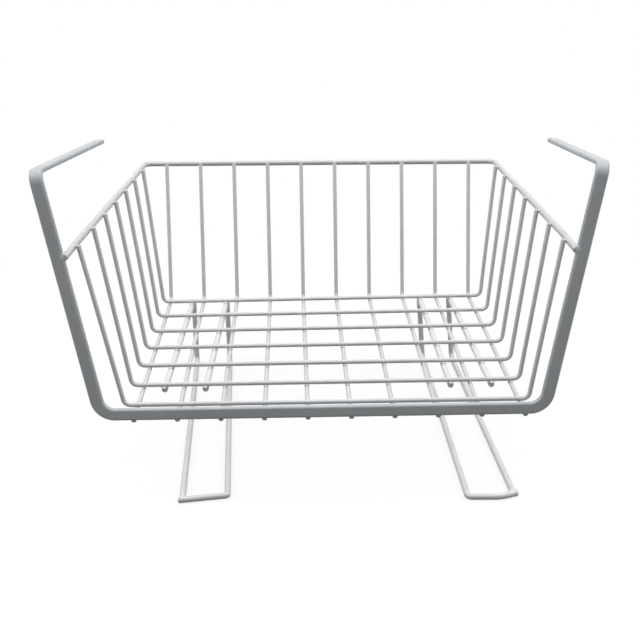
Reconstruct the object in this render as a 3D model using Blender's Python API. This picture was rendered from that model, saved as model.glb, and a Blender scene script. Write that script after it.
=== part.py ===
"""Under-shelf wire basket with two hook arms and a lower tier of two hairpin loops.

The basket is welded up from bent round wire and one bent flat bar, then powder coated.
Run it with: blender --background --python part.py
Lengths are in metres and angles in degrees. The pieces are first laid out around the floor
grid: x 0 in the middle, y 0 on the front cross wire, z 0 on the cross wires' centre line,
with -Y the open front, where the flat bar is. Then the whole stands on its lower loops with
the origin below its middle.
"""

import math

import bmesh
import bpy
from mathutils import Matrix, Vector

# Stock
WIRE_DIAMETER = 0.0035
RIM_DIAMETER = 0.005
ROD_DIAMETER = 0.0048
BAR_WIDTH = 0.0096
BAR_THICKNESS = 0.004
BAR_EDGE_RADIUS = 0.0017
WELD_GAP = 0.0003

# Floor grid and walls
CROSS_WIRES = 7
CROSS_WIRE_STEP = 0.0438
FLOOR_WIDTH = 0.3
CROSS_WIRE_BEND_RADIUS = 0.0055
SIDE_WALL_FRONT_RAKE = 0.8
SIDE_WALL_BACK_RAKE = 2.7
LONG_WIRES = 10
LONG_WIRE_STEP = 0.0317
LONG_WIRE_BEND_RADIUS = 0.005
LONG_WIRE_END_SETBACK = 0.0012
BACK_WALL_SETBACK = 0.0153

# Rim, level round the back and dipping to the flat bar in front
RIM_HEIGHT = 0.1222
RIM_FRONT_HEIGHT = 0.1176
RIM_FRONT_HALF_WIDTH = 0.1795
RIM_MIDDLE_HALF_WIDTH = 0.175
RIM_BACK_HALF_WIDTH = 0.1656
RIM_DIP_START = 0.022
RIM_BACK_REACH = 0.305
RIM_DIP_BEND_RADIUS = 0.04
RIM_CORNER_RADIUS = 0.007
RIM_END_SETBACK = 0.0005
WIRE_TOP_ABOVE_RIM = 0.0019

# Flat bar frame
BAR_SET_FORWARD = 0.0186
BAR_DROP = 0.0039
BAR_LEAN = 2.9
UPRIGHT_HALF_WIDTH = 0.1616
UPRIGHT_FLARE = 11.1
EDGEWISE_BEND_RADIUS = 0.0135
ARM_HEIGHT = 0.1796
ARM_LENGTH = 0.215
LEFT_ARM_DROOP = 4.2
RIGHT_ARM_DROOP = 5.4
ARM_BEND_RADIUS = 0.0055
ARM_TIP_RADIUS = 0.0032
ARM_TWIST_TO_FLAT = 6

# How far the parts stand off true, as welded
FRONT_SET_SIDEWAYS = -0.0015
RIM_BACK_SET_SIDEWAYS = 0.0013
RIM_LEFT_SIDE_SET_UP = 0.0012
CROSS_WIRE_SET_SIDEWAYS = 0.0017
CROSS_WIRE_BACK_TURN = 1
FRONT_CROSS_WIRE_SET_BACK = 0.003
LONG_WIRE_FRONT_SET_SIDEWAYS = 0.0033
LONG_WIRE_BACK_SET_SIDEWAYS = -0.0005
ARM_SET_SIDEWAYS = 2.2

# Lower tier: each loop is an inner rod with a crosspiece, and an outer rod welded to it
LOOP_STEPS_FROM_MIDDLE = 3.5
LOOP_DROP = 0.067
LOOP_BEHIND_LAST_WIRE = 0.0162
LOOP_ROD_BEND_RADIUS = 0.006
LOOP_CORNER_RADIUS = 0.0038
LOOP_CROSSPIECE_BEND_RADIUS = 0.02
LOOP_TOP_OVERHANG = 0.0005
ROD_END_RADIUS = 0.0012
LEFT_LOOP_SHIFT = 0.005
LEFT_LOOP_BACK_WIDTH = 0.032
LEFT_LOOP_FRONT_WIDTH = 0.0332
LEFT_LOOP_TOP_TURN = -0.0017
LEFT_LOOP_LEAN = 0.0006
LEFT_LOOP_SKEW = 0.0153
LEFT_LOOP_INNER_REACH = 0.014
LEFT_LOOP_OUTER_REACH = 0.0201
LEFT_LOOP_END_OVERHANG = 0.0032
RIGHT_LOOP_SHIFT = -0.0021
RIGHT_LOOP_BACK_WIDTH = 0.0283
RIGHT_LOOP_FRONT_WIDTH = 0.0344
RIGHT_LOOP_TOP_TURN = 0.0056
RIGHT_LOOP_LEAN = 0.0043
RIGHT_LOOP_SKEW = 0.009
RIGHT_LOOP_INNER_REACH = 0.0228
RIGHT_LOOP_BEND_REACH = 0.0236
RIGHT_LOOP_BEND_SIDEWAYS = 0.024
RIGHT_LOOP_OUTER_REACH = 0.0192
RIGHT_LOOP_END_OVERHANG = 0.0036

# Mesh fineness, in counts; the first side's share is the part of a side by which
# a ring is turned, so that no flat of a round wire lies square to the grid
ROUND_SIDES = 12
FIRST_SIDE_SHARE = 0.42
BEND_STEPS = 5
BAR_BEND_STEPS = 9
EDGE_STEPS = 3
TIP_STEPS = 4
END_STEPS = 2

# Silver grey powder coat: linear base colour, metallic, roughness
COATS = {
    "bar": ((0.50, 0.51, 0.52), 0.35, 0.38),
    "rim": ((0.56, 0.57, 0.58), 0.35, 0.36),
    "wire": ((0.57, 0.58, 0.59), 0.35, 0.36),
    "rod": ((0.55, 0.56, 0.57), 0.35, 0.37),
}

# Places that follow from the sizes
wire_radius = WIRE_DIAMETER / 2
rim_radius = RIM_DIAMETER / 2
rod_radius = ROD_DIAMETER / 2
last_row_y = (CROSS_WIRES - 1) * CROSS_WIRE_STEP
long_wire_z = -(WIRE_DIAMETER + WELD_GAP)
wire_past_rim = wire_radius + rim_radius + WELD_GAP
back_wall_y = last_row_y + BACK_WALL_SETBACK
bar_lean = math.radians(BAR_LEAN)
flare = math.radians(UPRIGHT_FLARE)
rim_end_y = math.tan(bar_lean) * (RIM_FRONT_HEIGHT + BAR_DROP) - BAR_SET_FORWARD + RIM_END_SETBACK


def clear_scene():
    for thing in list(bpy.data.objects):
        bpy.data.objects.remove(thing, do_unlink=True)


def coat(name, kind):
    """The powder coat material of one piece."""
    colour, metallic, roughness = COATS[kind]
    material = bpy.data.materials.new(name + "_coat")
    material.use_nodes = True
    shader = material.node_tree.nodes["Principled BSDF"]
    shader.inputs["Base Color"].default_value = (*colour, 1)
    shader.inputs["Metallic"].default_value = metallic
    shader.inputs["Roughness"].default_value = roughness
    material.diffuse_color = (*colour, 1)
    return material


def arc_points(centre, first, axis, turn, steps):
    """Places and directions along an arc that starts at centre + first."""
    for step in range(steps + 1):
        swing = Matrix.Rotation(turn * step / steps, 3, axis)
        yield centre + swing @ first, (swing @ axis.cross(first)).normalized()


def bent_line(corners, radii, steps):
    """Places and directions along a line through corners, each rounded to its radius."""
    line = [(corners[0], (corners[1] - corners[0]).normalized())]
    for before, corner, after, radius in zip(corners, corners[1:], corners[2:], radii):
        incoming = (corner - before).normalized()
        outgoing = (after - corner).normalized()
        turn = incoming.angle(outgoing)
        axis = incoming.cross(outgoing).normalized()
        start = corner - incoming * radius * math.tan(turn / 2)
        centre = start + axis.cross(incoming) * radius
        line.extend(arc_points(centre, start - centre, axis, turn, steps))
    line.append((corners[-1], (corners[-1] - corners[-2]).normalized()))
    return line


def skinned_mesh(name, rings):
    """A closed mesh skinned over rings of points, with a flat face at either end."""
    shape = bmesh.new()
    loops = [[shape.verts.new(point) for point in ring] for ring in rings]
    for near, far in zip(loops, loops[1:]):
        for index in range(len(near)):
            shape.faces.new((near[index - 1], near[index], far[index], far[index - 1]))
    shape.faces.new(loops[0])
    shape.faces.new(reversed(loops[-1]))
    bmesh.ops.recalc_face_normals(shape, faces=shape.faces)
    mesh = bpy.data.meshes.new(name)
    shape.to_mesh(mesh)
    shape.free()
    return mesh


def place(name, mesh, parent):
    """A new object under the parent."""
    thing = bpy.data.objects.new(name, mesh)
    bpy.context.scene.collection.objects.link(thing)
    thing.parent = parent
    return thing


def swept_piece(name, kind, rings, parent):
    """One named sub-part skinned over rings of points."""
    mesh = skinned_mesh(name, rings)
    mesh.shade_smooth()
    mesh.set_sharp_from_angle(angle=math.radians(50))
    mesh.materials.append(coat(name, kind))
    return place(name, mesh, parent)


def make_cutter(name, rings, parent):
    """A hidden solid to cut with."""
    cutter = place(name, skinned_mesh(name, rings), parent)
    cutter.hide_render = True
    cutter.display_type = "WIRE"
    return cutter


def cut_away(piece, cutter):
    """Takes the cutter's space out of a piece."""
    cut = piece.modifiers.new(cutter.name, "BOOLEAN")
    cut.object = cutter
    cut.operation = "DIFFERENCE"
    cut.solver = "EXACT"


def round_rings(line, radius):
    """Circles along a line, each turned from the last without twisting."""
    direction = line[0][1]
    across = direction.orthogonal().normalized()
    rings = []
    for place, heading in line:
        across = direction.rotation_difference(heading) @ across
        through = heading.cross(across)
        direction = heading
        rings.append([
            place + (across * math.cos(angle) + through * math.sin(angle)) * radius
            for angle in (math.tau * (side + FIRST_SIDE_SHARE) / ROUND_SIDES
                          for side in range(ROUND_SIDES))
        ])
    return rings


def round_wire(name, kind, corners, radii, radius, parent):
    """A length of round wire bent at corners and cut square at its ends."""
    line = bent_line(corners, radii, BEND_STEPS)
    return swept_piece(name, kind, round_rings(line, radius), parent)


def lean_past(run, rise, clearance):
    """Slope of a straight wire that rises past a rod, run away and rise up, at a clearance."""
    return math.tan(math.atan2(run, rise) - math.asin(clearance / math.hypot(run, rise)))


def between(near, far, share):
    """The value a share of the way from near to far."""
    return near + (far - near) * share


def bar_front_y(z):
    """The flat bar's front face at a height."""
    return -BAR_SET_FORWARD + math.tan(bar_lean) * (z + BAR_DROP)


def rim_place(side, y):
    """The rim's centre line on one side wall."""
    level = RIM_HEIGHT - side * RIM_LEFT_SIDE_SET_UP
    if y < RIM_DIP_START:
        share = (y - rim_end_y) / (RIM_DIP_START - rim_end_y)
        half = between(RIM_FRONT_HALF_WIDTH, RIM_MIDDLE_HALF_WIDTH, share)
        set_sideways = between(FRONT_SET_SIDEWAYS, 0, share)
        z = between(RIM_FRONT_HEIGHT, level, share)
    else:
        share = (y - RIM_DIP_START) / (RIM_BACK_REACH - RIM_DIP_START)
        half = between(RIM_MIDDLE_HALF_WIDTH, RIM_BACK_HALF_WIDTH, share)
        set_sideways = RIM_BACK_SET_SIDEWAYS * share
        z = level
    return Vector((side * half + set_sideways, y, z))


def long_wire_shift(y):
    """How far the long wires stand to the right of the middle."""
    share = y / last_row_y
    return between(LONG_WIRE_FRONT_SET_SIDEWAYS, LONG_WIRE_BACK_SET_SIDEWAYS, share)


def upright_x(side, z):
    """The centre line of one upright of the flat bar at a height."""
    half = UPRIGHT_HALF_WIDTH + math.tan(flare) * z / math.cos(bar_lean)
    return side * half + FRONT_SET_SIDEWAYS


def make_cross_wires(parent):
    """U-shaped wires: across the floor, then up both side walls to the rim."""
    for index in range(CROSS_WIRES):
        row_y = last_row_y - index * CROSS_WIRE_STEP
        if index == CROSS_WIRES - 1:
            row_y += FRONT_CROSS_WIRE_SET_BACK
        share = row_y / last_row_y
        rake = math.tan(math.radians(between(SIDE_WALL_FRONT_RAKE, SIDE_WALL_BACK_RAKE, share)))
        turn = math.tan(math.radians(CROSS_WIRE_BACK_TURN * share))
        corners = []
        for side in (-1, 1):
            floor_x = side * FLOOR_WIDTH / 2 + CROSS_WIRE_SET_SIDEWAYS
            y = row_y + turn * floor_x
            rim = rim_place(side, y + rake * RIM_HEIGHT)
            lean = side * lean_past(side * (rim.x - floor_x), rim.z, wire_past_rim)
            rise = rim.z + WIRE_TOP_ABOVE_RIM
            top = Vector((floor_x + lean * rise, y + rake * rise, rise))
            corners.append([top, Vector((floor_x, y, 0))])
        (left_top, left), (right_top, right) = corners
        round_wire(
            f"cross_wire_{index + 1:02d}", "wire", [left_top, left, right, right_top],
            [CROSS_WIRE_BEND_RADIUS] * 2, wire_radius, parent,
        )


def make_seat_cutter(parent):
    """The space of the flat bar over the long wires' ends, which the weld presses down."""
    seat_z = -BAR_DROP - WELD_GAP
    behind = bar_front_y(0) + BAR_THICKNESS + WELD_GAP
    rings = []
    for z in (seat_z, FLOOR_WIDTH):
        rings.append([
            Vector((x, y, z))
            for x, y in ((-FLOOR_WIDTH, -FLOOR_WIDTH), (FLOOR_WIDTH, -FLOOR_WIDTH),
                         (FLOOR_WIDTH, behind), (-FLOOR_WIDTH, behind))
        ])
    return make_cutter("seat_under_bar", rings, parent)


def make_long_wires(parent):
    """L-shaped wires: from under the flat bar, along the floor, then up the back wall."""
    cutter = make_seat_cutter(parent)
    front_y = LONG_WIRE_END_SETBACK - BAR_SET_FORWARD
    for index in range(LONG_WIRES):
        x = (index - (LONG_WIRES - 1) / 2) * LONG_WIRE_STEP
        back_x = x + long_wire_shift(back_wall_y)
        rim_z = RIM_HEIGHT - RIM_LEFT_SIDE_SET_UP * back_x / RIM_BACK_HALF_WIDTH
        lean = lean_past(RIM_BACK_REACH - back_wall_y, rim_z - long_wire_z, wire_past_rim)
        top_z = rim_z + WIRE_TOP_ABOVE_RIM
        front = Vector((x + long_wire_shift(front_y), front_y, long_wire_z))
        corner = Vector((back_x, back_wall_y, long_wire_z))
        top = Vector((back_x, back_wall_y + lean * (top_z - long_wire_z), top_z))
        wire = round_wire(
            f"long_wire_{index + 1:02d}", "wire", [front, corner, top],
            [LONG_WIRE_BEND_RADIUS], wire_radius, parent,
        )
        cut_away(wire, cutter)


def bar_outline(width, growth=0):
    """Section of the flat bar: across and through offsets, its long edges rounded."""
    radius = BAR_EDGE_RADIUS + growth
    outline = []
    for quarter, (across, through) in enumerate(((1, 1), (-1, 1), (-1, -1), (1, -1))):
        for step in range(EDGE_STEPS + 1):
            angle = math.pi / 2 * (quarter + step / EDGE_STEPS)
            outline.append((
                across * (width / 2 - BAR_EDGE_RADIUS) + radius * math.cos(angle),
                through * (BAR_THICKNESS / 2 - BAR_EDGE_RADIUS) + radius * math.sin(angle),
            ))
    return outline


def arm_heading(upright, droop):
    """Direction of a hook arm: the upright bent back the easy way until it droops enough."""
    back = Vector((0, math.cos(bar_lean), -math.sin(bar_lean)))
    reach = math.hypot(upright.z, back.z)
    turn = math.acos(-math.sin(math.radians(droop)) / reach) - math.atan2(-back.z, upright.z)
    return upright * math.cos(turn) + back * math.sin(turn)


def upright_line(side):
    """The bar's front normal, the middle of its low run, an upright's corner and direction."""
    front = Vector((0, -math.cos(bar_lean), math.sin(bar_lean)))
    rise = Vector((0, math.sin(bar_lean), math.cos(bar_lean)))
    upright = (rise * math.cos(flare) + Vector((side * math.sin(flare), 0, 0))).normalized()
    low = Vector((FRONT_SET_SIDEWAYS, -BAR_SET_FORWARD, -BAR_DROP)) - front * BAR_THICKNESS / 2
    low += rise * BAR_WIDTH / 2
    corner = Vector((upright_x(side, low.z), low.y, low.z))
    return front, low, corner, upright


def half_bar_sections(side):
    """Place, across axis, direction and width along one half of the bar, tip to middle."""
    front, low, corner, upright = upright_line(side)
    bend_height = ARM_HEIGHT - BAR_THICKNESS / 2
    top = corner + upright * ((bend_height - corner.z) / upright.z)
    heading = arm_heading(upright, LEFT_ARM_DROOP if side < 0 else RIGHT_ARM_DROOP)
    tip = top + heading * (ARM_LENGTH - BAR_THICKNESS / 2)

    tip_radius = min(ARM_TIP_RADIUS, BAR_WIDTH / 2 - BAR_EDGE_RADIUS)
    arm_sections = []
    for step in range(TIP_STEPS):
        angle = math.pi / 2 * (1 - step / TIP_STEPS)
        place = tip - heading * tip_radius * (1 - math.sin(angle))
        width = BAR_WIDTH - 2 * tip_radius * (1 - math.cos(angle))
        arm_sections.append((place, -heading, width))
    arm = [tip - heading * tip_radius, top, (top + corner) / 2]
    for place, direction in bent_line(arm, [ARM_BEND_RADIUS], BAR_BEND_STEPS)[:-1]:
        arm_sections.append((place, direction, BAR_WIDTH))

    across = upright.cross(front) * side
    flatten = math.radians(ARM_TWIST_TO_FLAT) * side
    sideways = math.tan(math.radians(ARM_SET_SIDEWAYS))
    bend_y = arm_sections[-1][0].y
    sections = []
    for index, (place, direction, width) in enumerate(arm_sections):
        share = min((len(arm_sections) - 1 - index) / BAR_BEND_STEPS, 1)
        level = Matrix.Rotation(flatten * share, 3, direction) @ across
        aside = Vector((sideways * (place.y - bend_y), 0, 0))
        sections.append((place + aside, level, direction, width))
    elbow = [(top + corner) / 2, corner, low]
    for place, direction in bent_line(elbow, [EDGEWISE_BEND_RADIUS], BAR_BEND_STEPS)[1:-1]:
        sections.append((place, direction.cross(front) * -side, direction, BAR_WIDTH))
    return sections


def make_front_frame(parent):
    """The flat bar: a flared U bent edgewise, its ends bent back the easy way as hook arms."""
    rings = []
    for side in (-1, 1):
        half = []
        for place, across, direction, width in half_bar_sections(side):
            through = direction.cross(across) * -side
            half.append([place + across * u + through * v for u, v in bar_outline(width)])
        rings += half if side < 0 else half[::-1]
    swept_piece("front_frame_bar", "bar", rings, parent)


def make_rim(parent):
    """The rim wire: round three sides, its ends melted into the flat bar's inner edges."""
    left, right = [
        [rim_place(side, y) for y in (rim_end_y, RIM_DIP_START, RIM_BACK_REACH)]
        for side in (-1, 1)
    ]
    radii = [RIM_DIP_BEND_RADIUS, RIM_CORNER_RADIUS]
    radii += radii[::-1]
    rim = round_wire("rim_wire", "rim", left + right[::-1], radii, rim_radius, parent)
    for side, name in ((-1, "left_melt_into_bar"), (1, "right_melt_into_bar")):
        front, low, corner, upright = upright_line(side)
        rings = []
        for z in (RIM_FRONT_HEIGHT - RIM_DIAMETER, RIM_FRONT_HEIGHT + RIM_DIAMETER):
            middle = corner + upright * ((z - corner.z) / upright.z)
            outline = bar_outline(BAR_WIDTH, WELD_GAP)
            rings.append([middle + upright.cross(front) * u + front * v for u, v in outline])
        cut_away(rim, make_cutter(name, rings, parent))


def loop_rods(side, shift, back_width, front_width, top_turn, lean, skew, reaches):
    """The corners of one loop's two rods, the one nearer the middle of the basket first."""
    top_z = -(wire_radius + WELD_GAP + rod_radius)
    back_y = last_row_y + LOOP_BEHIND_LAST_WIRE
    top_front_y = CROSS_WIRE_STEP - LOOP_TOP_OVERHANG
    middle = side * LOOP_STEPS_FROM_MIDDLE * LONG_WIRE_STEP + shift
    rods = []
    for edge, reach in zip((-side, side), reaches):
        top_front_x = middle + top_turn + edge * LONG_WIRE_STEP / 2
        back_x = middle + edge * back_width / 2
        front_x = middle + lean + skew + edge * front_width / 2
        rods.append([
            Vector((top_front_x, top_front_y, top_z)),
            Vector((back_x, back_y, top_z)),
            Vector((back_x + lean, back_y, -LOOP_DROP)),
            Vector((front_x, -reach, -LOOP_DROP)),
        ])
    return rods


def rounded_rod_end(ring, place, inward):
    """Rings from a rod's tip inwards that round its end, from the ring at the square end."""
    rings = []
    for step in range(END_STEPS + 1):
        angle = math.pi / 2 * step / END_STEPS
        inset = inward * ROD_END_RADIUS * (1 - math.sin(angle))
        share = 1 - ROD_END_RADIUS / rod_radius * (1 - math.cos(angle))
        rings.append([place + inset + (point - place) * share for point in ring])
    return rings


def bent_rod(name, corners, radii, round_finish, parent):
    """A rod with its first end rounded, and its last end too if asked."""
    line = bent_line(corners, radii, BEND_STEPS)
    rings = round_rings(line, rod_radius)
    (first, heading), (last, finish) = line[0], line[-1]
    tail = rounded_rod_end(rings[-1], last, -finish)[::-1] if round_finish else rings[-1:]
    rings = rounded_rod_end(rings[0], first, heading) + rings[1:-1] + tail
    swept_piece(name, "rod", rings, parent)


def make_loop(name, rods, crosspiece_bends, overhang, parent):
    """One loop: the inner rod turns out into the crosspiece, where the outer rod is welded."""
    inner, outer = rods
    crosspiece = [inner[-1]] + crosspiece_bends
    along = (outer[-1] - crosspiece[-1]).normalized()
    crosspiece.append(outer[-1] + along * overhang)
    radii = [LOOP_ROD_BEND_RADIUS] * 2
    inner_radii = radii + [LOOP_CORNER_RADIUS]
    inner_radii += [LOOP_CROSSPIECE_BEND_RADIUS] * len(crosspiece_bends)
    bent_rod(f"{name}_loop_inner_rod", inner[:-1] + crosspiece, inner_radii, True, parent)
    slope = abs(along.y / along.x)
    outer[-1] = outer[-1] + Vector((0, rod_radius * (1 + slope) + WELD_GAP, 0))
    bent_rod(f"{name}_loop_outer_rod", outer, radii, False, parent)


def make_lower_tier(parent):
    """Two hairpin loops hanging behind the floor grid, their rods lying level below it."""
    left = loop_rods(
        -1, LEFT_LOOP_SHIFT, LEFT_LOOP_BACK_WIDTH, LEFT_LOOP_FRONT_WIDTH, LEFT_LOOP_TOP_TURN,
        LEFT_LOOP_LEAN, LEFT_LOOP_SKEW, (LEFT_LOOP_INNER_REACH, LEFT_LOOP_OUTER_REACH),
    )
    right = loop_rods(
        1, RIGHT_LOOP_SHIFT, RIGHT_LOOP_BACK_WIDTH, RIGHT_LOOP_FRONT_WIDTH, RIGHT_LOOP_TOP_TURN,
        RIGHT_LOOP_LEAN, RIGHT_LOOP_SKEW, (RIGHT_LOOP_INNER_REACH, RIGHT_LOOP_OUTER_REACH),
    )
    right_corner = right[0][-1]
    bend_x = right_corner.x + RIGHT_LOOP_BEND_SIDEWAYS
    right_bend = Vector((bend_x, -RIGHT_LOOP_BEND_REACH, right_corner.z))
    make_loop("left", left, [], LEFT_LOOP_END_OVERHANG, parent)
    make_loop("right", right, [right_bend], RIGHT_LOOP_END_OVERHANG, parent)


def stand_on_origin(parent):
    """Moves the whole so that the origin is below the middle of its box, on its lowest point."""
    points = [vertex.co for piece in parent.children if not piece.hide_render
              for vertex in piece.data.vertices]
    low = Vector([min(point[axis] for point in points) for axis in range(3)])
    high = Vector([max(point[axis] for point in points) for axis in range(3)])
    parent.location = (-(low.x + high.x) / 2, -(low.y + high.y) / 2, -low.z)


def main():
    clear_scene()
    basket = bpy.data.objects.new("basket", None)
    bpy.context.scene.collection.objects.link(basket)
    make_front_frame(basket)
    make_rim(basket)
    make_cross_wires(basket)
    make_long_wires(basket)
    make_lower_tier(basket)
    stand_on_origin(basket)
    bpy.context.view_layer.update()


main()
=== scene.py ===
import math

import bmesh
import bpy
from mathutils import Matrix, Vector
from mathutils.geometry import intersect_line_line


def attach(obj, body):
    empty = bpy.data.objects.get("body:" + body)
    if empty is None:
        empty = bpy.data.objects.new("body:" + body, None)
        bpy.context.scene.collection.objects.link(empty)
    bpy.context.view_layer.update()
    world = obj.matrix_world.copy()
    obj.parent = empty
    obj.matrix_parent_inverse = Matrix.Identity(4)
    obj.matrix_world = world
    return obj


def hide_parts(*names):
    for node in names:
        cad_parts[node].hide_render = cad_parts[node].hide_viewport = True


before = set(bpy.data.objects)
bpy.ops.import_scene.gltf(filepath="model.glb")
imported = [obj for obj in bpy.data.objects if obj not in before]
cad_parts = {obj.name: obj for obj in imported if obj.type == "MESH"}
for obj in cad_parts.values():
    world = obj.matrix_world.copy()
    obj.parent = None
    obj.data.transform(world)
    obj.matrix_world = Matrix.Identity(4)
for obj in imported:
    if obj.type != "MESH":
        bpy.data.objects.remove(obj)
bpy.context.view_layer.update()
print("frame loaded:", len(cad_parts), "nodes")

# the floor grid's own origin, from which the pieces and the camera are placed: the floor's
# middle, the front row's even place, the cross wires' height
gridPlace = Vector((-0.0017359, -0.1408286, 0.0693987))

stock = {"wireRadius": 0.00175, "rimRadius": 0.0025, "rodRadius": 0.0024}

# side is -1 on the left and 1 on the right in all that follows
sideways = Vector((1, 0, 0))
backwards = Vector((0, 1, 0))
upwards = Vector((0, 0, 1))


def between(near, far, share):
    return near + (far - near) * share


# nodes written as sums


class Field:
    # one output socket; a sum, product or power of it adds a Math node to its tree
    def __init__(self, bench, socket):
        self.bench = bench
        self.socket = socket

    def out(self, name):
        # another output of the same node
        return Field(self.bench, self.socket.node.outputs[name])

    def __add__(self, other):
        return self.bench.maths("ADD", self, other)

    def __radd__(self, other):
        return self.bench.maths("ADD", other, self)

    def __sub__(self, other):
        return self.bench.maths("SUBTRACT", self, other)

    def __rsub__(self, other):
        return self.bench.maths("SUBTRACT", other, self)

    def __mul__(self, other):
        return self.bench.maths("MULTIPLY", self, other)

    def __rmul__(self, other):
        return self.bench.maths("MULTIPLY", other, self)

    def __truediv__(self, other):
        return self.bench.maths("DIVIDE", self, other)

    def __rtruediv__(self, other):
        return self.bench.maths("DIVIDE", other, self)

    def __pow__(self, other):
        return self.bench.maths("POWER", self, other)

    def __rpow__(self, other):
        return self.bench.maths("POWER", other, self)


class Bench:
    # a node tree that is being built
    def __init__(self, tree):
        self.tree = tree
        tree.nodes.clear()

    def node(self, kind, settings=None, inputs=None, output=0):
        # settings go to the node itself, inputs to its sockets as values or links
        made = self.tree.nodes.new(kind)
        for key, value in (settings or {}).items():
            setattr(made, key, value)
        for key, value in (inputs or {}).items():
            if isinstance(value, Field):
                self.tree.links.new(value.socket, made.inputs[key])
            else:
                made.inputs[key].default_value = value
        return Field(self, made.outputs[output]) if made.outputs else None

    def maths(self, operation, *values):
        return self.node("ShaderNodeMath", {"operation": operation}, dict(enumerate(values)))

    def clamp(self, value, low, high):
        return self.maths("MAXIMUM", self.maths("MINIMUM", value, high), low)

    def attribute(self, name, kind="FLOAT"):
        return self.node("GeometryNodeInputNamedAttribute", {"data_type": kind}, {"Name": name})


def newTree(name, inputs):
    # a geometry tree with named inputs, which entry.out(title) gives
    tree = bpy.data.node_groups.new(name, "GeometryNodeTree")
    bench = Bench(tree)
    tree.interface.new_socket(name="Geometry", in_out="INPUT", socket_type="NodeSocketGeometry")
    tree.interface.new_socket(name="Geometry", in_out="OUTPUT", socket_type="NodeSocketGeometry")
    for title, kind in inputs.items():
        tree.interface.new_socket(name=title, in_out="INPUT", socket_type="NodeSocket" + kind)
    entry = bench.node("NodeGroupInput")
    return bench, entry


def closeTree(bench, geometry, finish):
    # shades the result smooth, makes its copies real and coats it
    smooth = bench.node("GeometryNodeSetShadeSmooth", None, {"Geometry": geometry})
    real = bench.node("GeometryNodeRealizeInstances", None, {"Geometry": smooth})
    coated = bench.node("GeometryNodeSetMaterial", None, {"Geometry": real, "Material": finish})
    bench.node("NodeGroupOutput", None, {"Geometry": coated})


def place(name, data):
    # a new object at the origin, for a mesh, camera or lamp
    thing = bpy.data.objects.new(name, data)
    bpy.context.scene.collection.objects.link(thing)
    return thing


def workTree(name, mesh, tree, sizes):
    # runs a geometry tree over a mesh and keeps the result as a plain mesh
    piece = place(name, mesh)
    modifier = piece.modifiers.new("nodes", "NODES")
    modifier.node_group = tree
    for item in tree.interface.items_tree:
        if item.item_type == "SOCKET" and item.in_out == "INPUT" and item.name in sizes:
            modifier[item.identifier] = sizes[item.name]
    depsgraph = bpy.context.evaluated_depsgraph_get()
    done = bpy.data.meshes.new_from_object(piece.evaluated_get(depsgraph), depsgraph=depsgraph)
    piece.modifiers.remove(modifier)
    piece.data = done
    done.name = name
    return piece


# the powder coat: one silver grey coat on every part, made here as one copy per part, some lighter
# and some darker, which paint light and shade

# the bar's copy is darker than the wires' and the rods' copy is lighter: painted shade keeps the
# bar's front faces dark, and painted light brightens the rods under these lamps
# the rim, wire and weld copies lie between these; dark and light in each copy are the two ends of
# its random drift
litAndShadedCoatCopies = {
    "bar": {"dark": (0.395, 0.415, 0.430), "light": (0.445, 0.465, 0.480), "roughness": 0.48},
    "rim": {"dark": (0.535, 0.545, 0.555), "light": (0.585, 0.595, 0.605), "roughness": 0.44},
    "wire": {"dark": (0.555, 0.565, 0.575), "light": (0.605, 0.615, 0.625), "roughness": 0.44},
    "rod": {"dark": (0.640, 0.648, 0.655), "light": (0.690, 0.698, 0.705), "roughness": 0.46},
    "weld": {"dark": (0.50, 0.51, 0.52), "light": (0.60, 0.61, 0.62), "roughness": 0.5},
}
coatGrain = {
    "metallic": 0.08, "gloss": 0.2, "contrast": 2, "flakeShare": 0.1, "flakeRoughness": 0.04,
    "peelStrength": 0.5, "peelDepth": 0.000004,
    "drift": {"Scale": 22, "Detail": 3, "Roughness": 0.5},
    "peel": {"Scale": 420, "Detail": 2, "Roughness": 0.45},
    "flake": {"Scale": 1500, "Detail": 1, "Roughness": 0.6},
}


def powderCoat(kind):
    # silver grey powder in this part's own tone, which paints light and shade: slow drift of
    # colour, fine metal flake, orange peel
    look = litAndShadedCoatCopies[kind]
    grain = coatGrain
    material = bpy.data.materials.new(kind + "ShadeTunedPowderCoat")
    material.use_nodes = True
    bench = Bench(material.node_tree)
    spot = bench.node("ShaderNodeTexCoord", output="Object")
    drift, peel, flake = [
        bench.node("ShaderNodeTexNoise", None, {"Vector": spot, **grain[layer]})
        for layer in ("drift", "peel", "flake")
    ]
    shade = drift * (1 - grain["flakeShare"]) + flake * grain["flakeShare"]
    # noise stays near 0.5, so its swing round that is widened
    shade = shade * grain["contrast"] - (grain["contrast"] - 1) / 2
    # sockets 0, 6 and 7 are the factor and the two colours, output 2 the mixed one
    colour = bench.node(
        "ShaderNodeMix", {"data_type": "RGBA", "clamp_factor": True},
        {0: shade, 6: (*look["dark"], 1), 7: (*look["light"], 1)}, output=2)
    roughness = look["roughness"] + (flake - 0.5) * grain["flakeRoughness"]
    normal = bench.node("ShaderNodeBump", None, {
        "Strength": grain["peelStrength"], "Distance": grain["peelDepth"], "Height": peel})
    shader = bench.node("ShaderNodeBsdfPrincipled", None, {
        "Base Color": colour, "Roughness": roughness, "Normal": normal,
        "Metallic": grain["metallic"], "Specular IOR Level": grain["gloss"]})
    bench.node("ShaderNodeOutputMaterial", None, {"Surface": shader})
    return material


coats = {kind: powderCoat(kind) for kind in litAndShadedCoatCopies}
print("powder coats made:", len(coats))


# wires swept along their bends

wireFineness = {"sides": 28, "bendSteps": 12, "endSteps": 4}


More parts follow.
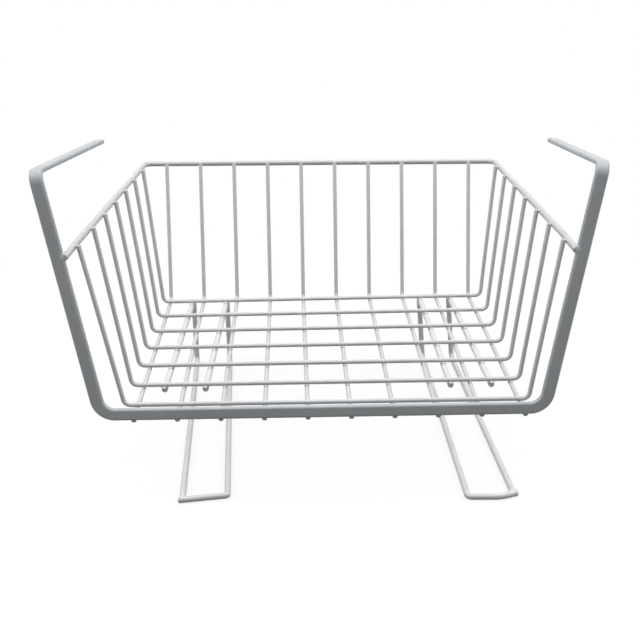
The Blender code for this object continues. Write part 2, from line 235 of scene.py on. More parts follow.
def sweptWireTree():
    # a round wire along a line whose points hold the bend's radius and the share of thickness
    bench, entry = newTree("sweptWire", {
        "Radius": "Float", "Sides": "Int", "Bend Steps": "Int", "Finish": "Material"})
    line = bench.node("GeometryNodeMeshToCurve", None, {"Mesh": entry.out("Geometry")})
    line = bench.node("GeometryNodeFilletCurve", {"mode": "POLY"}, {
        "Curve": line, "Count": entry.out("Bend Steps"), "Radius": bench.attribute("bend")})
    ring = bench.node("GeometryNodeCurvePrimitiveCircle", {"mode": "RADIUS"}, {
        "Resolution": entry.out("Sides"), "Radius": 1})
    skin = bench.node("GeometryNodeCurveToMesh", None, {
        "Curve": line, "Profile Curve": ring, "Fill Caps": True,
        "Scale": entry.out("Radius") * bench.attribute("full")})
    closeTree(bench, skin, entry.out("Finish"))
    return bench.tree


sweptWire = sweptWireTree()


def roundedEnd(end, beside, rounding, radius):
    # points from a wire's end inwards: the spot, no bend, the share of thickness there
    inward = (beside - end).normalized()
    points = []
    for step in range(wireFineness["endSteps"] + 1):
        angle = math.pi / 2 * step / wireFineness["endSteps"]
        full = 1 - rounding / radius * (1 - math.sin(angle))
        points.append((end + inward * rounding * (1 - math.cos(angle)), 0, full))
    return points


def wirePiece(name, kind, corners, bends, radius, roundings, node):
    # a wire bent at its corners; roundings are how far its first and its last end are rounded
    points = roundedEnd(corners[0], corners[1], roundings[0], radius)
    points += [(corner, bend, 1) for corner, bend in zip(corners[1:-1], bends)]
    points += roundedEnd(corners[-1], corners[-2], roundings[1], radius)[::-1]
    spots, bendHere, fullHere = zip(*points)
    mesh = bpy.data.meshes.new(name)
    edges = [(index, index + 1) for index in range(len(points) - 1)]
    mesh.from_pydata([gridPlace + spot for spot in spots], edges, [])
    mesh.attributes.new("bend", "FLOAT", "POINT").data.foreach_set("value", bendHere)
    mesh.attributes.new("full", "FLOAT", "POINT").data.foreach_set("value", fullHere)
    piece = workTree(name, mesh, sweptWire, {
        "Radius": radius, "Sides": wireFineness["sides"],
        "Bend Steps": wireFineness["bendSteps"], "Finish": coats[kind]})
    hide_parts(node)
    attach(piece, "root")


# the flat bar, bent edgewise at the floor and the easy way into the arms

barSizes = {
    "width": 0.0096, "railWidth": 0.0089, "thickness": 0.0048, "armThickness": 0.004,
    "halfWidth": 0.1616, "setSideways": -0.0015, "setForward": 0.0186, "drop": 0.0039,
    "lean": math.radians(2.9), "flare": math.radians(11.1), "edgewiseBend": 0.0135,
    "armHeight": 0.1796, "armLength": 0.215, "armBend": 0.0085, "flatten": math.radians(6),
    "droop": {-1: math.radians(4.2), 1: math.radians(5.4)},
    "armAside": math.tan(math.radians(2.2)), "tipRadius": 0.0032, "tipSoftness": 0.0007,
    "edgeRound": 0.0018, "leastFlat": 0.0001, "flatShare": 0.12,
    "bendSteps": 24, "edgeSteps": 7, "tipSteps": 10,
}


# the way the bar's front face looks, and the way it rises
barFront = Vector((0, -math.cos(barSizes["lean"]), math.sin(barSizes["lean"])))
barRise = Vector((0, math.sin(barSizes["lean"]), math.cos(barSizes["lean"])))


def barFrontY(z):
    # where the bar's front face is at a height
    return math.tan(barSizes["lean"]) * (z + barSizes["drop"]) - barSizes["setForward"]


def uprightX(side, z):
    # where an upright's middle is at a height
    half = barSizes["halfWidth"] + math.tan(barSizes["flare"]) * z / math.cos(barSizes["lean"])
    return side * half + barSizes["setSideways"]


def uprightAlong(side):
    out = sideways * side * math.sin(barSizes["flare"])
    return (barRise * math.cos(barSizes["flare"]) + out).normalized()


def railMiddle():
    bar = barSizes
    lowEdge = Vector((bar["setSideways"], -bar["setForward"], -bar["drop"]))
    return lowEdge + barRise * bar["railWidth"] / 2 - barFront * bar["thickness"] / 2


def lowerCorner(side):
    low = railMiddle()
    return Vector((uprightX(side, low.z), low.y, low.z))


def bentLine(corners, bends, steps):
    # places and directions along a line whose corners are rounded
    line = [(corners[0], (corners[1] - corners[0]).normalized())]
    for before, corner, after, radius in zip(corners, corners[1:], corners[2:], bends):
        incoming = (corner - before).normalized()
        outgoing = (after - corner).normalized()
        turn = incoming.angle(outgoing)
        axis = incoming.cross(outgoing).normalized()
        start = corner - incoming * radius * math.tan(turn / 2)
        centre = start + axis.cross(incoming) * radius
        for step in range(steps + 1):
            swing = Matrix.Rotation(turn * step / steps, 3, axis)
            line.append((centre + swing @ (start - centre), swing @ incoming))
    line.append((corners[-1], (corners[-1] - corners[-2]).normalized()))
    return line


def barOutline(width, thickness):
    # section of the bar: oval edges, and extra points beside them to keep its faces flat
    bar = barSizes
    wide = min(bar["edgeRound"], width / 2 - bar["leastFlat"])
    deep = min(bar["edgeRound"], thickness / 2 - bar["leastFlat"])
    inset = (width / 2 - wide) * bar["flatShare"]
    outline = []
    for quarter, (across, through) in enumerate(((1, 1), (-1, 1), (-1, -1), (1, -1))):
        middle = (across * (width / 2 - wide), through * (thickness / 2 - deep))
        arc = []
        for step in range(bar["edgeSteps"] + 1):
            angle = math.pi / 2 * (quarter + step / bar["edgeSteps"])
            arc.append((middle[0] + wide * math.cos(angle), middle[1] + deep * math.sin(angle)))
        if quarter in (0, 2):
            arc.append((arc[-1][0] - across * inset, arc[-1][1]))
        else:
            arc.insert(0, (arc[0][0] - across * inset, arc[0][1]))
        outline += arc
    return outline


def armTip(tip, heading):
    # sections from the arm's end inwards, rounded across and softened at the very end
    bar = barSizes
    sections = []
    for step in range(bar["tipSteps"]):
        angle = math.pi / 2 * (1 - step / bar["tipSteps"])
        run = bar["tipRadius"] * (1 - math.sin(angle))
        width = bar["width"] - 2 * bar["tipRadius"] * (1 - math.cos(angle))
        soft = max(0, 1 - run / bar["tipSoftness"])
        blunt = 2 * bar["tipSoftness"] * (1 - math.sqrt(1 - soft * soft))
        sections.append((tip - heading * run, -heading, width, bar["armThickness"] - blunt))
    return sections


def armBendSpot(side):
    # where the middle lines of the arm and the upright meet
    corner = lowerCorner(side)
    upright = uprightAlong(side)
    topZ = barSizes["armHeight"] - barSizes["armThickness"] / 2
    return corner + upright * ((topZ - corner.z) / upright.z)


def armAlong(side):
    # the upright's direction, swung back until it droops as the arm does
    upright = uprightAlong(side)
    # after a turn it rises by reach * cos(start + turn)
    reach = math.hypot(upright.z, barFront.z)
    start = math.atan2(barFront.z, upright.z)
    turn = math.acos(-math.sin(barSizes["droop"][side]) / reach) - start
    return upright * math.cos(turn) - barFront * math.sin(turn)


def armSections(side):
    # from the arm's end over its bend to halfway down the upright
    bar = barSizes
    top = armBendSpot(side)
    heading = armAlong(side)
    tip = top + heading * (bar["armLength"] - bar["armThickness"] / 2)
    line = armTip(tip, heading)
    corners = [tip - heading * bar["tipRadius"], top, (top + lowerCorner(side)) / 2]
    for spot, direction in bentLine(corners, [bar["armBend"]], bar["bendSteps"])[:-1]:
        line.append((spot, direction, bar["width"], bar["armThickness"]))
    across = uprightAlong(side).cross(barFront) * side
    bendY = line[-1][0].y
    sections = []
    for index, (spot, direction, width, thickness) in enumerate(line):
        # 1 along the arm, down to 0 round its bend
        share = min((len(line) - 1 - index) / bar["bendSteps"], 1)
        level = Matrix.Rotation(bar["flatten"] * side * share, 3, direction) @ across
        aside = sideways * bar["armAside"] * (spot.y - bendY)
        thickness += (bar["thickness"] - bar["armThickness"]) * (1 - share)
        sections.append((spot + aside, level, direction, width, thickness))
    return sections


def railSections(side):
    # round the edgewise bend at the floor, to where the straight rail begins
    bar = barSizes
    corner = lowerCorner(side)
    corners = [(armBendSpot(side) + corner) / 2, corner, railMiddle()]
    bend = bentLine(corners, [bar["edgewiseBend"]], bar["bendSteps"])[1:-1]
    sections = []
    for step, (spot, direction) in enumerate(bend):
        level = direction.cross(barFront) * -side
        width = between(bar["width"], bar["railWidth"], step / bar["bendSteps"])
        sections.append((spot, level, direction, width, bar["thickness"]))
    return sections


def skinRings(name, rings, coat):
    # a closed mesh over rings of points, its ends closed by fans
    shape = bmesh.new()
    hoops = [[shape.verts.new(gridPlace + point) for point in ring] for ring in rings]
    for near, far in zip(hoops, hoops[1:]):
        for index in range(len(near)):
            shape.faces.new((near[index - 1], near[index], far[index], far[index - 1]))
    for hoop in (hoops[0], hoops[-1]):
        middle = shape.verts.new(sum((vert.co for vert in hoop), Vector()) / len(hoop))
        for index in range(len(hoop)):
            shape.faces.new((hoop[index - 1], hoop[index], middle))
    bmesh.ops.recalc_face_normals(shape, faces=shape.faces)
    mesh = bpy.data.meshes.new(name)
    shape.to_mesh(mesh)
    shape.free()
    mesh.shade_smooth()
    mesh.materials.append(coat)
    return place(name, mesh)


def makeBar():
    rings = []
    for side in (-1, 1):
        half = []
        for spot, across, direction, width, thickness in armSections(side) + railSections(side):
            through = direction.cross(across) * -side
            outline = barOutline(width, thickness)
            half.append([spot + across * u + through * v for u, v in outline])
        rings += half if side < 0 else half[::-1]
    piece = skinRings("frontBar", rings, coats["bar"])
    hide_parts("front_frame_bar")
    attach(piece, "root")


makeBar()
print("flat bar made")


# the rim wire

rimSizes = {
    "height": 0.1222, "frontHeight": 0.1176, "frontHalf": 0.1795, "middleHalf": 0.175,
    "backHalf": 0.1656, "dipStart": 0.022, "backReach": 0.305, "dipBend": 0.04,
    "cornerBend": 0.007, "endSetback": 0.0005, "topAbove": 0.0019, "backAside": 0.0013,
    "leftUp": 0.0012, "endRounding": 0.0006,
}
rimEndY = barFrontY(rimSizes["frontHeight"]) + rimSizes["endSetback"]


def rimSpot(side, y):
    # the rim wire's middle on one side, which dips towards the bar in front
    rim = rimSizes
    level = rim["height"] - side * rim["leftUp"]
    if y < rim["dipStart"]:
        share = (y - rimEndY) / (rim["dipStart"] - rimEndY)
        half = between(rim["frontHalf"], rim["middleHalf"], share)
        aside = between(barSizes["setSideways"], 0, share)
        z = between(rim["frontHeight"], level, share)
    else:
        share = (y - rim["dipStart"]) / (rim["backReach"] - rim["dipStart"])
        half = between(rim["middleHalf"], rim["backHalf"], share)
        aside = rim["backAside"] * share
        z = level
    return Vector((side * half + aside, y, z))


def makeRim():
    rim = rimSizes
    left, right = [
        [rimSpot(side, y) for y in (rimEndY, rim["dipStart"], rim["backReach"])]
        for side in (-1, 1)
    ]
    bends = [rim["dipBend"], rim["cornerBend"], rim["cornerBend"], rim["dipBend"]]
    wirePiece("rimWire", "rim", left + right[::-1], bends, stock["rimRadius"],
              (rim["endRounding"], rim["endRounding"]), "rim_wire")


makeRim()
print("rim made")


# cross wires and long wires

gridSizes = {
    "rows": 7, "rowStep": 0.0438, "frontRowBack": 0.003, "floorWidth": 0.3,
    "crossAside": 0.0017, "crossBend": 0.0055, "backTurn": math.radians(1),
    "frontRake": math.radians(0.8), "backRake": math.radians(2.7),
    "wires": 10, "wireStep": 0.0317, "longBend": 0.005, "longEndSetback": 0.0012,
    "wallSetback": 0.0153, "longFrontAside": 0.0033, "longBackAside": -0.0005,
    "weldGap": 0.0003, "endRounding": 0.0005,
}
lastRowY = (gridSizes["rows"] - 1) * gridSizes["rowStep"]
longZ = -(2 * stock["wireRadius"] + gridSizes["weldGap"])
backWallY = lastRowY + gridSizes["wallSetback"]
pastRim = stock["wireRadius"] + stock["rimRadius"] + gridSizes["weldGap"]


def longAside(y):
    return between(gridSizes["longFrontAside"], gridSizes["longBackAside"], y / lastRowY)


def leanPast(run, rise, clearance):
    # slope of a straight wire that passes a round bar, which is run away and rise up
    return math.tan(math.atan2(run, rise) - math.asin(clearance / math.hypot(run, rise)))


def crossWireLine(index):
    # one cross wire's left top, left foot, right foot and right top; index 0 is the back row
    grid = gridSizes
    rowY = lastRowY - index * grid["rowStep"]
    if index == grid["rows"] - 1:
        rowY += grid["frontRowBack"]
    share = rowY / lastRowY
    # the side walls rake back, and the row turns, the more the further back it is
    rake = math.tan(between(grid["frontRake"], grid["backRake"], share))
    turn = math.tan(grid["backTurn"] * share)
    sides = []
    for side in (-1, 1):
        x = side * grid["floorWidth"] / 2 + grid["crossAside"]
        y = rowY + turn * x
        rim = rimSpot(side, y + rake * rimSizes["height"])
        lean = side * leanPast(side * (rim.x - x), rim.z, pastRim)
        rise = rim.z + rimSizes["topAbove"]
        sides.append([Vector((x + lean * rise, y + rake * rise, rise)), Vector((x, y, 0))])
    return sides[0] + sides[1][::-1]


def longWireLine(index):
    # the corners of one long wire: its front end, the foot of the back wall, its top
    grid = gridSizes
    x = (index - (grid["wires"] - 1) / 2) * grid["wireStep"]
    frontY = grid["longEndSetback"] - barSizes["setForward"]
    backX = x + longAside(backWallY)
    rimZ = rimSizes["height"] - rimSizes["leftUp"] * backX / rimSizes["backHalf"]
    lean = leanPast(rimSizes["backReach"] - backWallY, rimZ - longZ, pastRim)
    topZ = rimZ + rimSizes["topAbove"]
    return [
        Vector((x + longAside(frontY), frontY, longZ)),
        Vector((backX, backWallY, longZ)),
        Vector((backX, backWallY + lean * (topZ - longZ), topZ)),
    ]


crossLines = [crossWireLine(index) for index in range(gridSizes["rows"])]
longLines = [longWireLine(index) for index in range(gridSizes["wires"])]
for kind, lines in (("cross", crossLines), ("long", longLines)):
    for number, line in enumerate(lines, 1):
        bends = [gridSizes[kind + "Bend"]] * (len(line) - 2)
        roundings = (gridSizes["endRounding"], gridSizes["endRounding"])
        wirePiece(f"{kind}Wire{number:02d}", "wire", line, bends, stock["wireRadius"],
                  roundings, f"{kind}_wire_{number:02d}")
print("floor grid and walls made")


# the two loops of the lower tier

# each loop's reaches are how far its inner and outer rod come forward, and a crosspiece
# corner is how far it lies aside of the inner rod's corner and how far forward
loopSizes = {
    "stepsAside": 3.5, "drop": 0.067, "behindLast": 0.0162, "topOverhang": 0.0005,
    "rodBend": 0.006, "crosspieceBend": 0.02, "endRounding": 0.0012, "jointRounding": 0.0002,
    "left": {
        "side": -1, "shift": 0.005, "backWidth": 0.032, "frontWidth": 0.0332,
        "topTurn": -0.0017, "lean": 0.0006, "skew": 0.0153, "reaches": (0.014, 0.0201),
        "cornerBend": 0.0027, "crosspieceCorners": [], "endOverhang": 0.0032,
    },
    "right": {
        "side": 1, "shift": -0.0021, "backWidth": 0.0283, "frontWidth": 0.0344,
        "topTurn": 0.0056, "lean": 0.0043, "skew": 0.009, "reaches": (0.0228, 0.0192),
        "cornerBend": 0.0038, "crosspieceCorners": [(0.024, 0.0236)], "endOverhang": 0.0036,
    },
}
rodTopZ = -(stock["wireRadius"] + gridSizes["weldGap"] + stock["rodRadius"])
loopBackY = lastRowY + loopSizes["behindLast"]


def loopLines(loop):
    # the corners of the inner rod with its crosspiece, and those of the outer rod; the joint
    # where the two meet in front, and the crosspiece's direction there
    side = loop["side"]
    frontY = gridSizes["rowStep"] - loopSizes["topOverhang"]
    middle = side * loopSizes["stepsAside"] * gridSizes["wireStep"] + loop["shift"]
    rods = []
    for edge, reach in zip((-side, side), loop["reaches"]):
        topX = middle + loop["topTurn"] + edge * gridSizes["wireStep"] / 2
        backX = middle + edge * loop["backWidth"] / 2
        frontX = middle + loop["lean"] + loop["skew"] + edge * loop["frontWidth"] / 2
        rods.append([
            Vector((topX, frontY, rodTopZ)), Vector((backX, loopBackY, rodTopZ)),
            Vector((backX + loop["lean"], loopBackY, -loopSizes["drop"])),
            Vector((frontX, -reach, -loopSizes["drop"])),
        ])
    inner, outer = rods
    corner = inner[-1]
    for aside, reach in loop["crosspieceCorners"]:
        inner.append(Vector((corner.x + aside, -reach, corner.z)))
    along = (outer[-1] - inner[-1]).normalized()
    inner.append(outer[-1] + along * loop["endOverhang"])
    joint = outer[-1].copy()
    outer[-1] = joint + backwards * stock["rodRadius"] * (1 + abs(along.y / along.x))
    return {"inner": inner, "outer": outer, "joint": joint, "along": along}


def makeLoop(name):
    loop = loopSizes[name]
    lines = loopLines(loop)
    bends = [loopSizes["rodBend"]] * 2
    innerBends = bends + [loop["cornerBend"]]
    innerBends += [loopSizes["crosspieceBend"]] * len(loop["crosspieceCorners"])
    rounding = loopSizes["endRounding"]
    wirePiece(name + "LoopInnerRod", "rod", lines["inner"], innerBends, stock["rodRadius"],
              (rounding, rounding), name + "_loop_inner_rod")
    wirePiece(name + "LoopOuterRod", "rod", lines["outer"], bends, stock["rodRadius"],
              (rounding, loopSizes["jointRounding"]), name + "_loop_outer_rod")
    return lines


loops = {name: makeLoop(name) for name in ("left", "right")}
print("lower tier made")


# weld nuggets where two wires cross

nuggetSizes = {
    "gridReach": 0.0014, "rimReach": 0.0012, "rodReach": 0.0015, "waist": 0.84,
    "neckCurve": 1.6, "toeDepth": 0.00012, "poleShare": 0.6, "mergeWithin": 0.00001,
    "unevenness": 0.1, "seed": 7, "sides": 16,
}


def nuggetTree():
    # a closed collar between two crossing wires: the upper one lies along the nugget's X,
    # the lower one along its Y, and the nugget runs out to Reach on both
    bench, entry = newTree("weldNuggets", {
        "Upper Radius": "Float", "Lower Radius": "Float", "Gap": "Float", "Reach": "Float",
        "Waist": "Float", "Sides": "Int", "Unevenness": "Float", "Seed": "Int",
        "Finish": "Material"})
    shape = nuggetSizes
    rows = 7  # pole, toe, neck, waist, neck, toe, pole
    waistRow = (rows - 1) / 2
    toeRow = waistRow - 1
    grid = bench.node("GeometryNodeMeshGrid", None, {
        "Size X": 1, "Size Y": 1, "Vertices X": entry.out("Sides") + 1, "Vertices Y": rows})
    # the grid's X runs round the collar, its Y up through the rows
    spot = bench.node("GeometryNodeInputPosition")
    spot = bench.node("ShaderNodeSeparateXYZ", None, {0: spot})
    angle = (spot.out("X") + 0.5) * math.tau
    row = (spot.out("Y") + 0.5) * (rows - 1)
    # the collar is narrowest at its waist and widest at its toes, and closed at its poles
    fromWaist = bench.maths("ABSOLUTE", row - waistRow)
    neck = bench.maths("MINIMUM", fromWaist, toeRow) / toeRow
    out = entry.out("Waist") + (1 - entry.out("Waist")) * neck ** shape["neckCurve"]
    isPole = bench.maths("GREATER_THAN", fromWaist, toeRow + 0.5)
    reach = entry.out("Reach") * out * (1 - isPole)
    x = reach * bench.maths("COSINE", angle)
    y = reach * bench.maths("SINE", angle)
    upper = entry.out("Upper Radius")
    lower = entry.out("Lower Radius")

    def curvedAway(radius, aside):
        # from the contact's middle to a wire's surface, aside of its middle line
        height = bench.maths("SQRT", bench.maths("MAXIMUM", radius * radius - aside * aside, 0))
        return entry.out("Gap") / 2 + radius - height

    rise = curvedAway(upper, y)
    fall = curvedAway(lower, x)
    # +1 at the upper toe, -1 at the lower toe
    share = bench.clamp((row - waistRow) / toeRow, -1, 1)
    above = bench.maths("MAXIMUM", share, 0)
    below = bench.maths("MAXIMUM", 0 - share, 0)
    middle = (rise - fall) / 2
    toe = shape["toeDepth"]
    z = middle * (1 - above - below) + (rise + toe) * above - (fall + toe) * below
    z = z + isPole * (above * upper - below * lower) * shape["poleShare"]
    moved = bench.node("ShaderNodeCombineXYZ", None, {0: x, 1: y, 2: z})
    collar = bench.node("GeometryNodeSetPosition", None, {"Geometry": grid, "Position": moved})
    collar = bench.node("GeometryNodeMergeByDistance", None, {
        "Geometry": collar, "Distance": shape["mergeWithin"]})
    # sockets 2 and 3 are the least and the most, output 1 the number between them
    size = bench.node("FunctionNodeRandomValue", {"data_type": "FLOAT"}, {
        2: 1 - entry.out("Unevenness"), 3: 1 + entry.out("Unevenness"),
        "Seed": entry.out("Seed")}, output=1)
    nuggets = bench.node("GeometryNodeInstanceOnPoints", None, {
        "Points": entry.out("Geometry"), "Instance": collar, "Scale": size,
        "Rotation": bench.attribute("turn", "FLOAT_VECTOR")})
    closeTree(bench, nuggets, entry.out("Finish"))
    return bench.tree


weldNuggets = nuggetTree()


def turnFor(along, outward):
    # the turn that brings X onto along and Z onto outward
    z = outward.normalized()
    x = (along - z * along.dot(z)).normalized()
    y = z.cross(x)
    return Matrix((x, y, z)).transposed().to_euler()


def pointMesh(name, spots, vectors):
    # loose points, each with a vector of every kind in vectors
    mesh = bpy.data.meshes.new(name)
    mesh.from_pydata([gridPlace + spot for spot in spots], [], [])
    for kind, values in vectors.items():
        flat = [value for vector in values for value in vector]
        mesh.attributes.new(kind, "FLOAT_VECTOR", "POINT").data.foreach_set("vector", flat)
    return mesh


def weldBetween(upperLine, lowerLine, upperRadius, lowerRadius):
    # the contact of two straight wires, each given by two points
    upperAlong = (upperLine[1] - upperLine[0]).normalized()
    lowerAlong = (lowerLine[1] - lowerLine[0]).normalized()
    high, low = intersect_line_line(*upperLine, *lowerLine)
    contact = (high - low).normalized()
    middle = (high - contact * upperRadius + low + contact * lowerRadius) / 2
    return {
        "middle": middle, "upward": contact, "upperAlong": upperAlong, "lowerAlong": lowerAlong,
    }


def nuggetPiece(name, welds, upperRadius, lowerRadius, reach):
    size = nuggetSizes
    turns = [turnFor(weld["upperAlong"], weld["upward"]) for weld in welds]
    mesh = pointMesh(name, [weld["middle"] for weld in welds], {"turn": turns})
    piece = workTree(name, mesh, weldNuggets, {
        "Upper Radius": upperRadius, "Lower Radius": lowerRadius, "Gap": gridSizes["weldGap"],
        "Reach": reach, "Waist": size["waist"], "Sides": size["sides"],
        "Unevenness": size["unevenness"], "Seed": size["seed"], "Finish": coats["weld"]})
    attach(piece, "root")


def rimRun(side, y):
    # the straight stretch of rim that passes y on one side
    rim = rimSizes
    if y < rim["dipStart"]:
        return rimSpot(side, rimEndY), rimSpot(side, rim["dipStart"])
    return rimSpot(side, rim["dipStart"]), rimSpot(side, rim["backReach"])


def makeWelds():
    size = nuggetSizes
    wire, rim, rod = stock["wireRadius"], stock["rimRadius"], stock["rodRadius"]
    atGrid = [
        weldBetween(cross[1:3], long[:2], wire, wire) for cross in crossLines for long in longLines
    ]
    nuggetPiece("gridWelds", atGrid, wire, wire, size["gridReach"])
    atRim = []
    for leftTop, leftFoot, rightFoot, rightTop in crossLines:
        atRim.append(weldBetween(rimRun(-1, leftTop.y), (leftTop, leftFoot), rim, wire))
        atRim.append(weldBetween(rimRun(1, rightTop.y), (rightFoot, rightTop), rim, wire))
    back = rimSpot(-1, rimSizes["backReach"]), rimSpot(1, rimSizes["backReach"])
    atRim += [weldBetween(back, long[1:], rim, wire) for long in longLines]
    nuggetPiece("rimWelds", atRim, rim, wire, size["rimReach"])
    # the rods run below every row but the front one
    atRods = [
        weldBetween(cross[1:3], loop[part][:2], wire, rod)
        for loop in loops.values() for cross in crossLines[:-1] for part in ("inner", "outer")
    ]
    nuggetPiece("loopWelds", atRods, wire, rod, size["rodReach"])
    return atGrid, atRods


atGrid, atRods = makeWelds()
print("weld nuggets made")


# beads where a bar or rod ends on another, and shoulders of metal beside the crossings

beadSizes = {
    "segments": 20, "ripple": 0.00012, "rippleScale": 900, "rippleDetail": 1,
    "wireEnd": {"spread": (0.0019, 0.0012, 0.0013), "z": -0.0045, "back": 0.0017},
    "rimEnd": {"spread": (0.0029, 0.0011, 0.0033), "back": 0.0009, "outward": 0.0012},
    "rodEnd": {
        "left": {"spread": (0.0034, 0.0017, 0.0020), "up": 0.0004, "backShare": 0.9},
        "right": {"spread": (0.0038, 0.0021, 0.0023), "up": 0.0008, "backShare": 0.9},
    },
    "crosspieceEnd": {"spread": (0.0027, 0.0026, 0.0024), "back": 0.0026, "up": 0.0003},
    "rodTip": {
        "left": {"spread": (0.0030, 0.0022, 0.0016), "backShare": 0.8},
        "right": {"spread": (0.0024, 0.0020, 0.0014), "backShare": 0.8},
    },
    "leftCorner": {"spread": (0.0023, 0.0023, 0.0022), "aside": 0.0003},
}
shoulderSizes = {
    "segments": 10, "ripple": 0.00006, "rippleScale": 1400, "along": 0.0018, "high": 0.0009,
    "acrossShare": 0.76, "outShare": 1.1,
}


def beadTree():
    # one rippled pillow at each point, spread by its own three radii
    bench, entry = newTree("weldBeads", {
        "Segments": "Int", "Ripple": "Float", "Ripple Scale": "Float", "Finish": "Material"})
    ball = bench.node("GeometryNodeMeshUVSphere", None, {
        "Segments": entry.out("Segments"), "Rings": entry.out("Segments") / 2, "Radius": 1})
    pillows = bench.node("GeometryNodeInstanceOnPoints", None, {
        "Points": entry.out("Geometry"), "Instance": ball,
        "Rotation": bench.attribute("turn", "FLOAT_VECTOR"),
        "Scale": bench.attribute("spread", "FLOAT_VECTOR")})
    pillows = bench.node("GeometryNodeRealizeInstances", None, {"Geometry": pillows})
    ripple = bench.node("ShaderNodeTexNoise", None, {
        "Vector": bench.node("GeometryNodeInputPosition"), "Scale": entry.out("Ripple Scale"),
        "Detail": beadSizes["rippleDetail"]})
    outward = bench.node("ShaderNodeVectorMath", {"operation": "SCALE"}, {
        0: bench.node("GeometryNodeInputNormal"),
        "Scale": (ripple * 2 - 1) * entry.out("Ripple")})
    pillows = bench.node("GeometryNodeSetPosition", None, {
        "Geometry": pillows, "Offset": outward})
    closeTree(bench, pillows, entry.out("Finish"))
    return bench.tree


weldBeads = beadTree()


def beadPiece(name, kind, beads, sizes):
    # each bead: its middle, three radii, the directions of its X and of its Z
    spots, spreads, alongs, outwards = zip(*beads)
    turns = [turnFor(along, outward) for along, outward in zip(alongs, outwards)]
    mesh = pointMesh(name, spots, {"turn": turns, "spread": spreads})
    piece = workTree(name, mesh, weldBeads, {
        "Segments": sizes["segments"], "Ripple": sizes["ripple"],
        "Ripple Scale": sizes["rippleScale"], "Finish": coats[kind]})
    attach(piece, "root")


def makeBarBeads():
    # where the long wires and the rim end on the flat bar
    beads = []
    bead = beadSizes["wireEnd"]
    for line in longLines:
        spot = Vector((line[0].x, bead["back"] - barSizes["setForward"], bead["z"]))
        beads.append((spot, bead["spread"], sideways, upwards))
    beadPiece("barBeads", "bar", beads, beadSizes)
    beads = []
    bead = beadSizes["rimEnd"]
    z = rimSizes["frontHeight"]
    for side in (-1, 1):
        upright = uprightAlong(side)
        inner = uprightX(side, z) - side * (barSizes["width"] / 2 - bead["outward"])
        spot = Vector((inner, barFrontY(z) + bead["back"], z))
        beads.append((spot, bead["spread"], backwards.cross(upright), upright))
    beadPiece("rimBeads", "rim", beads, beadSizes)


def makeRodBeads():
    # where the outer rods end on the crosspieces, at the crosspieces' own ends, on the rods'
    # upper front ends, and at the left loop's bent corner
    beads = []
    for name, loop in loops.items():
        bead = beadSizes["rodEnd"][name]
        spot = loop["joint"] + Vector((0, stock["rodRadius"] * bead["backShare"], bead["up"]))
        beads.append((spot, bead["spread"], loop["along"], upwards))
        bead = beadSizes["crosspieceEnd"]
        spot = loop["inner"][-1] - loop["along"] * bead["back"] + upwards * bead["up"]
        beads.append((spot, bead["spread"], loop["along"], upwards))
        bead = beadSizes["rodTip"][name]
        for rod in (loop["inner"], loop["outer"]):
            back = bead["spread"][1] * bead["backShare"]
            spot = rod[0] + Vector((0, back, stock["rodRadius"]))
            beads.append((spot, bead["spread"], sideways, upwards))
    bead = beadSizes["leftCorner"]
    loop = loops["left"]
    corner = loop["inner"][3]
    spot = corner + Vector((-bead["aside"], bead["aside"], 0))
    beads.append((spot, bead["spread"], loop["along"], upwards))
    beadPiece("rodBeads", "rod", beads, beadSizes)


def makeShoulders(name, kind, welds, upperRadius, lowerRadius):
    # metal pressed out on the lower wire, in front of the upper one and behind it
    size = shoulderSizes
    spread = (lowerRadius * size["acrossShare"], size["along"], size["high"])
    beads = []
    for weld in welds:
        for end in (-1, 1):
            spot = weld["middle"] + weld["lowerAlong"] * upperRadius * size["outShare"] * end
            beads.append((spot, spread, weld["upperAlong"], weld["upward"]))
    beadPiece(name, kind, beads, size)


makeBarBeads()
makeRodBeads()
makeShoulders("gridShoulders", "wire", atGrid, stock["wireRadius"], stock["wireRadius"])
makeShoulders("rodShoulders", "rod", atRods, stock["wireRadius"], stock["rodRadius"])
print("beads and shoulders made")


# camera, lamps, floor

cameraFit = {
    "spot": Vector((-0.007699, -0.824915, 0.336119)), "pitch": math.radians(18.1993),
    "yaw": math.radians(0.3583), "roll": math.radians(-0.7998), "lens": 67.5, "sensor": 36,
    "clip": (0.01, 60),
}


def makeCamera():
    fit = cameraFit
    camera = bpy.data.cameras.new("camera")
    camera.sensor_width = fit["sensor"]
    camera.lens = fit["lens"]
    camera.clip_start, camera.clip_end = fit["clip"]
    thing = place("camera", camera)
    ahead = Vector((
        math.sin(fit["yaw"]) * math.cos(fit["pitch"]),
        math.cos(fit["yaw"]) * math.cos(fit["pitch"]), -math.sin(fit["pitch"]),
    ))
    right = ahead.cross(upwards).normalized()
    up = right.cross(ahead)
    rolled = right * math.cos(fit["roll"]) + up * math.sin(fit["roll"])
    top = up * math.cos(fit["roll"]) - right * math.sin(fit["roll"])
    thing.matrix_world = Matrix.Translation(gridPlace + fit["spot"]) @ Matrix(
        (rolled, top, -ahead)).transposed().to_4x4()
    bpy.context.scene.camera = thing


lamps = {
    "overhead": {"spot": (0, 0.05, 1.6), "aim": (0, 0, 0.1), "size": (3.2, 1.5), "watts": 42},
    "front": {"spot": (0, -1.1, 1.2), "aim": (0, 0, 0.2), "size": (0.8, 0.8), "watts": 2.6},
    "left": {"spot": (-1.4, -0.2, 0.9), "aim": (0, 0, 0.1), "size": (0.8, 0.8), "watts": 7},
    "right": {"spot": (1.4, -0.2, 0.9), "aim": (0, 0, 0.1), "size": (0.8, 0.8), "watts": 7},
}
studioLook = {
    "skyLevel": 0.05, "floorHalf": 6, "floorBelow": 0.0002, "bounce": 0.16, "shade": 0.9,
    "shadowShare": 0.18, "shadowReach": 0.3, "fadeWidth": 0.35,
}


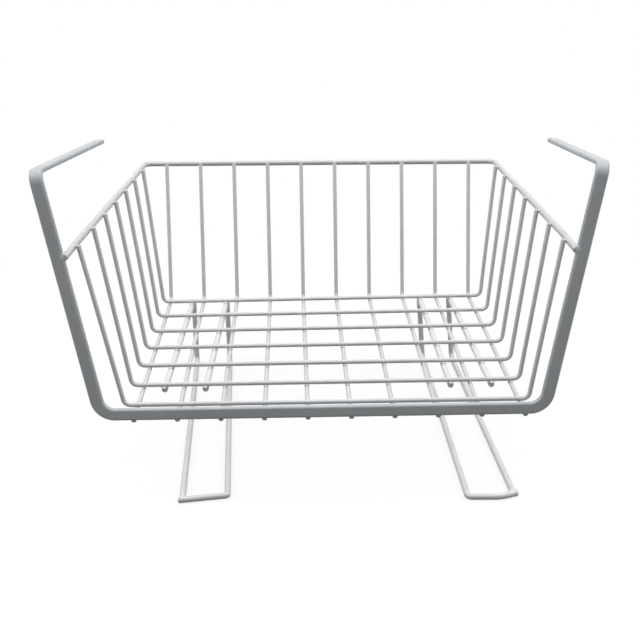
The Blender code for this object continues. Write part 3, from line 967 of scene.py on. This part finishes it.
def makeLamps():
    for name, lamp in lamps.items():
        light = bpy.data.lights.new(name, "AREA")
        light.shape = "RECTANGLE"
        light.size, light.size_y = lamp["size"]
        light.energy = lamp["watts"]
        thing = place(name + "Lamp", light)
        spot = Vector(lamp["spot"])
        thing.location = spot
        thing.rotation_euler = (Vector(lamp["aim"]) - spot).to_track_quat("-Z", "Y").to_euler()


def grey(level):
    return (level, level, level, 1)


def seenShare(bench):
    # 1 for what the camera sees, also in reflections and through clear pieces
    path = bench.node("ShaderNodeLightPath")
    seen = bench.maths("MAXIMUM", path.out("Is Camera Ray"), path.out("Is Glossy Ray"))
    return bench.maths("MAXIMUM", seen, path.out("Is Transmission Ray"))


def makeWorld():
    # seen white, but a weak light on the object
    world = bpy.data.worlds.new("studio")
    bpy.context.scene.world = world
    world.use_nodes = True
    bench = Bench(world.node_tree)
    strength = between(studioLook["skyLevel"], 1, seenShare(bench))
    sky = bench.node("ShaderNodeBackground", None, {"Color": grey(1), "Strength": strength})
    bench.node("ShaderNodeOutputWorld", None, {"Surface": sky})


def makeFloor():
    # seen white, with the object's shadow near it; its own light on the object is low
    look = studioLook
    half = look["floorHalf"]
    mesh = bpy.data.meshes.new("floor")
    corners = [(-half, -half), (half, -half), (half, half), (-half, half)]
    mesh.from_pydata([(x, y, -look["floorBelow"]) for x, y in corners], [], [(0, 1, 2, 3)])
    material = bpy.data.materials.new("studioFloor")
    material.use_nodes = True
    bench = Bench(material.node_tree)
    bounce = bench.node("ShaderNodeBsdfDiffuse", None, {"Color": grey(look["bounce"])})
    matt = bench.node("ShaderNodeBsdfDiffuse", None, {"Color": grey(look["shade"])})
    white = bench.node("ShaderNodeEmission", None, {"Color": grey(1), "Strength": 1})
    spot = bench.node("ShaderNodeTexCoord", output="Object")
    away = bench.node("ShaderNodeVectorMath", {"operation": "LENGTH"}, {0: spot}, output="Value")
    near = 1 - bench.clamp((away - look["shadowReach"]) / look["fadeWidth"], 0, 1)
    seen = bench.node("ShaderNodeMixShader", None, {
        0: near * look["shadowShare"], 1: white, 2: matt})
    both = bench.node("ShaderNodeMixShader", None, {0: seenShare(bench), 1: bounce, 2: seen})
    bench.node("ShaderNodeOutputMaterial", None, {"Surface": both})
    mesh.materials.append(material)
    place("floor", mesh)


makeCamera()
makeLamps()
makeWorld()
makeFloor()
bpy.context.scene.view_settings.view_transform = "Standard"
print("camera, lamps and floor made")
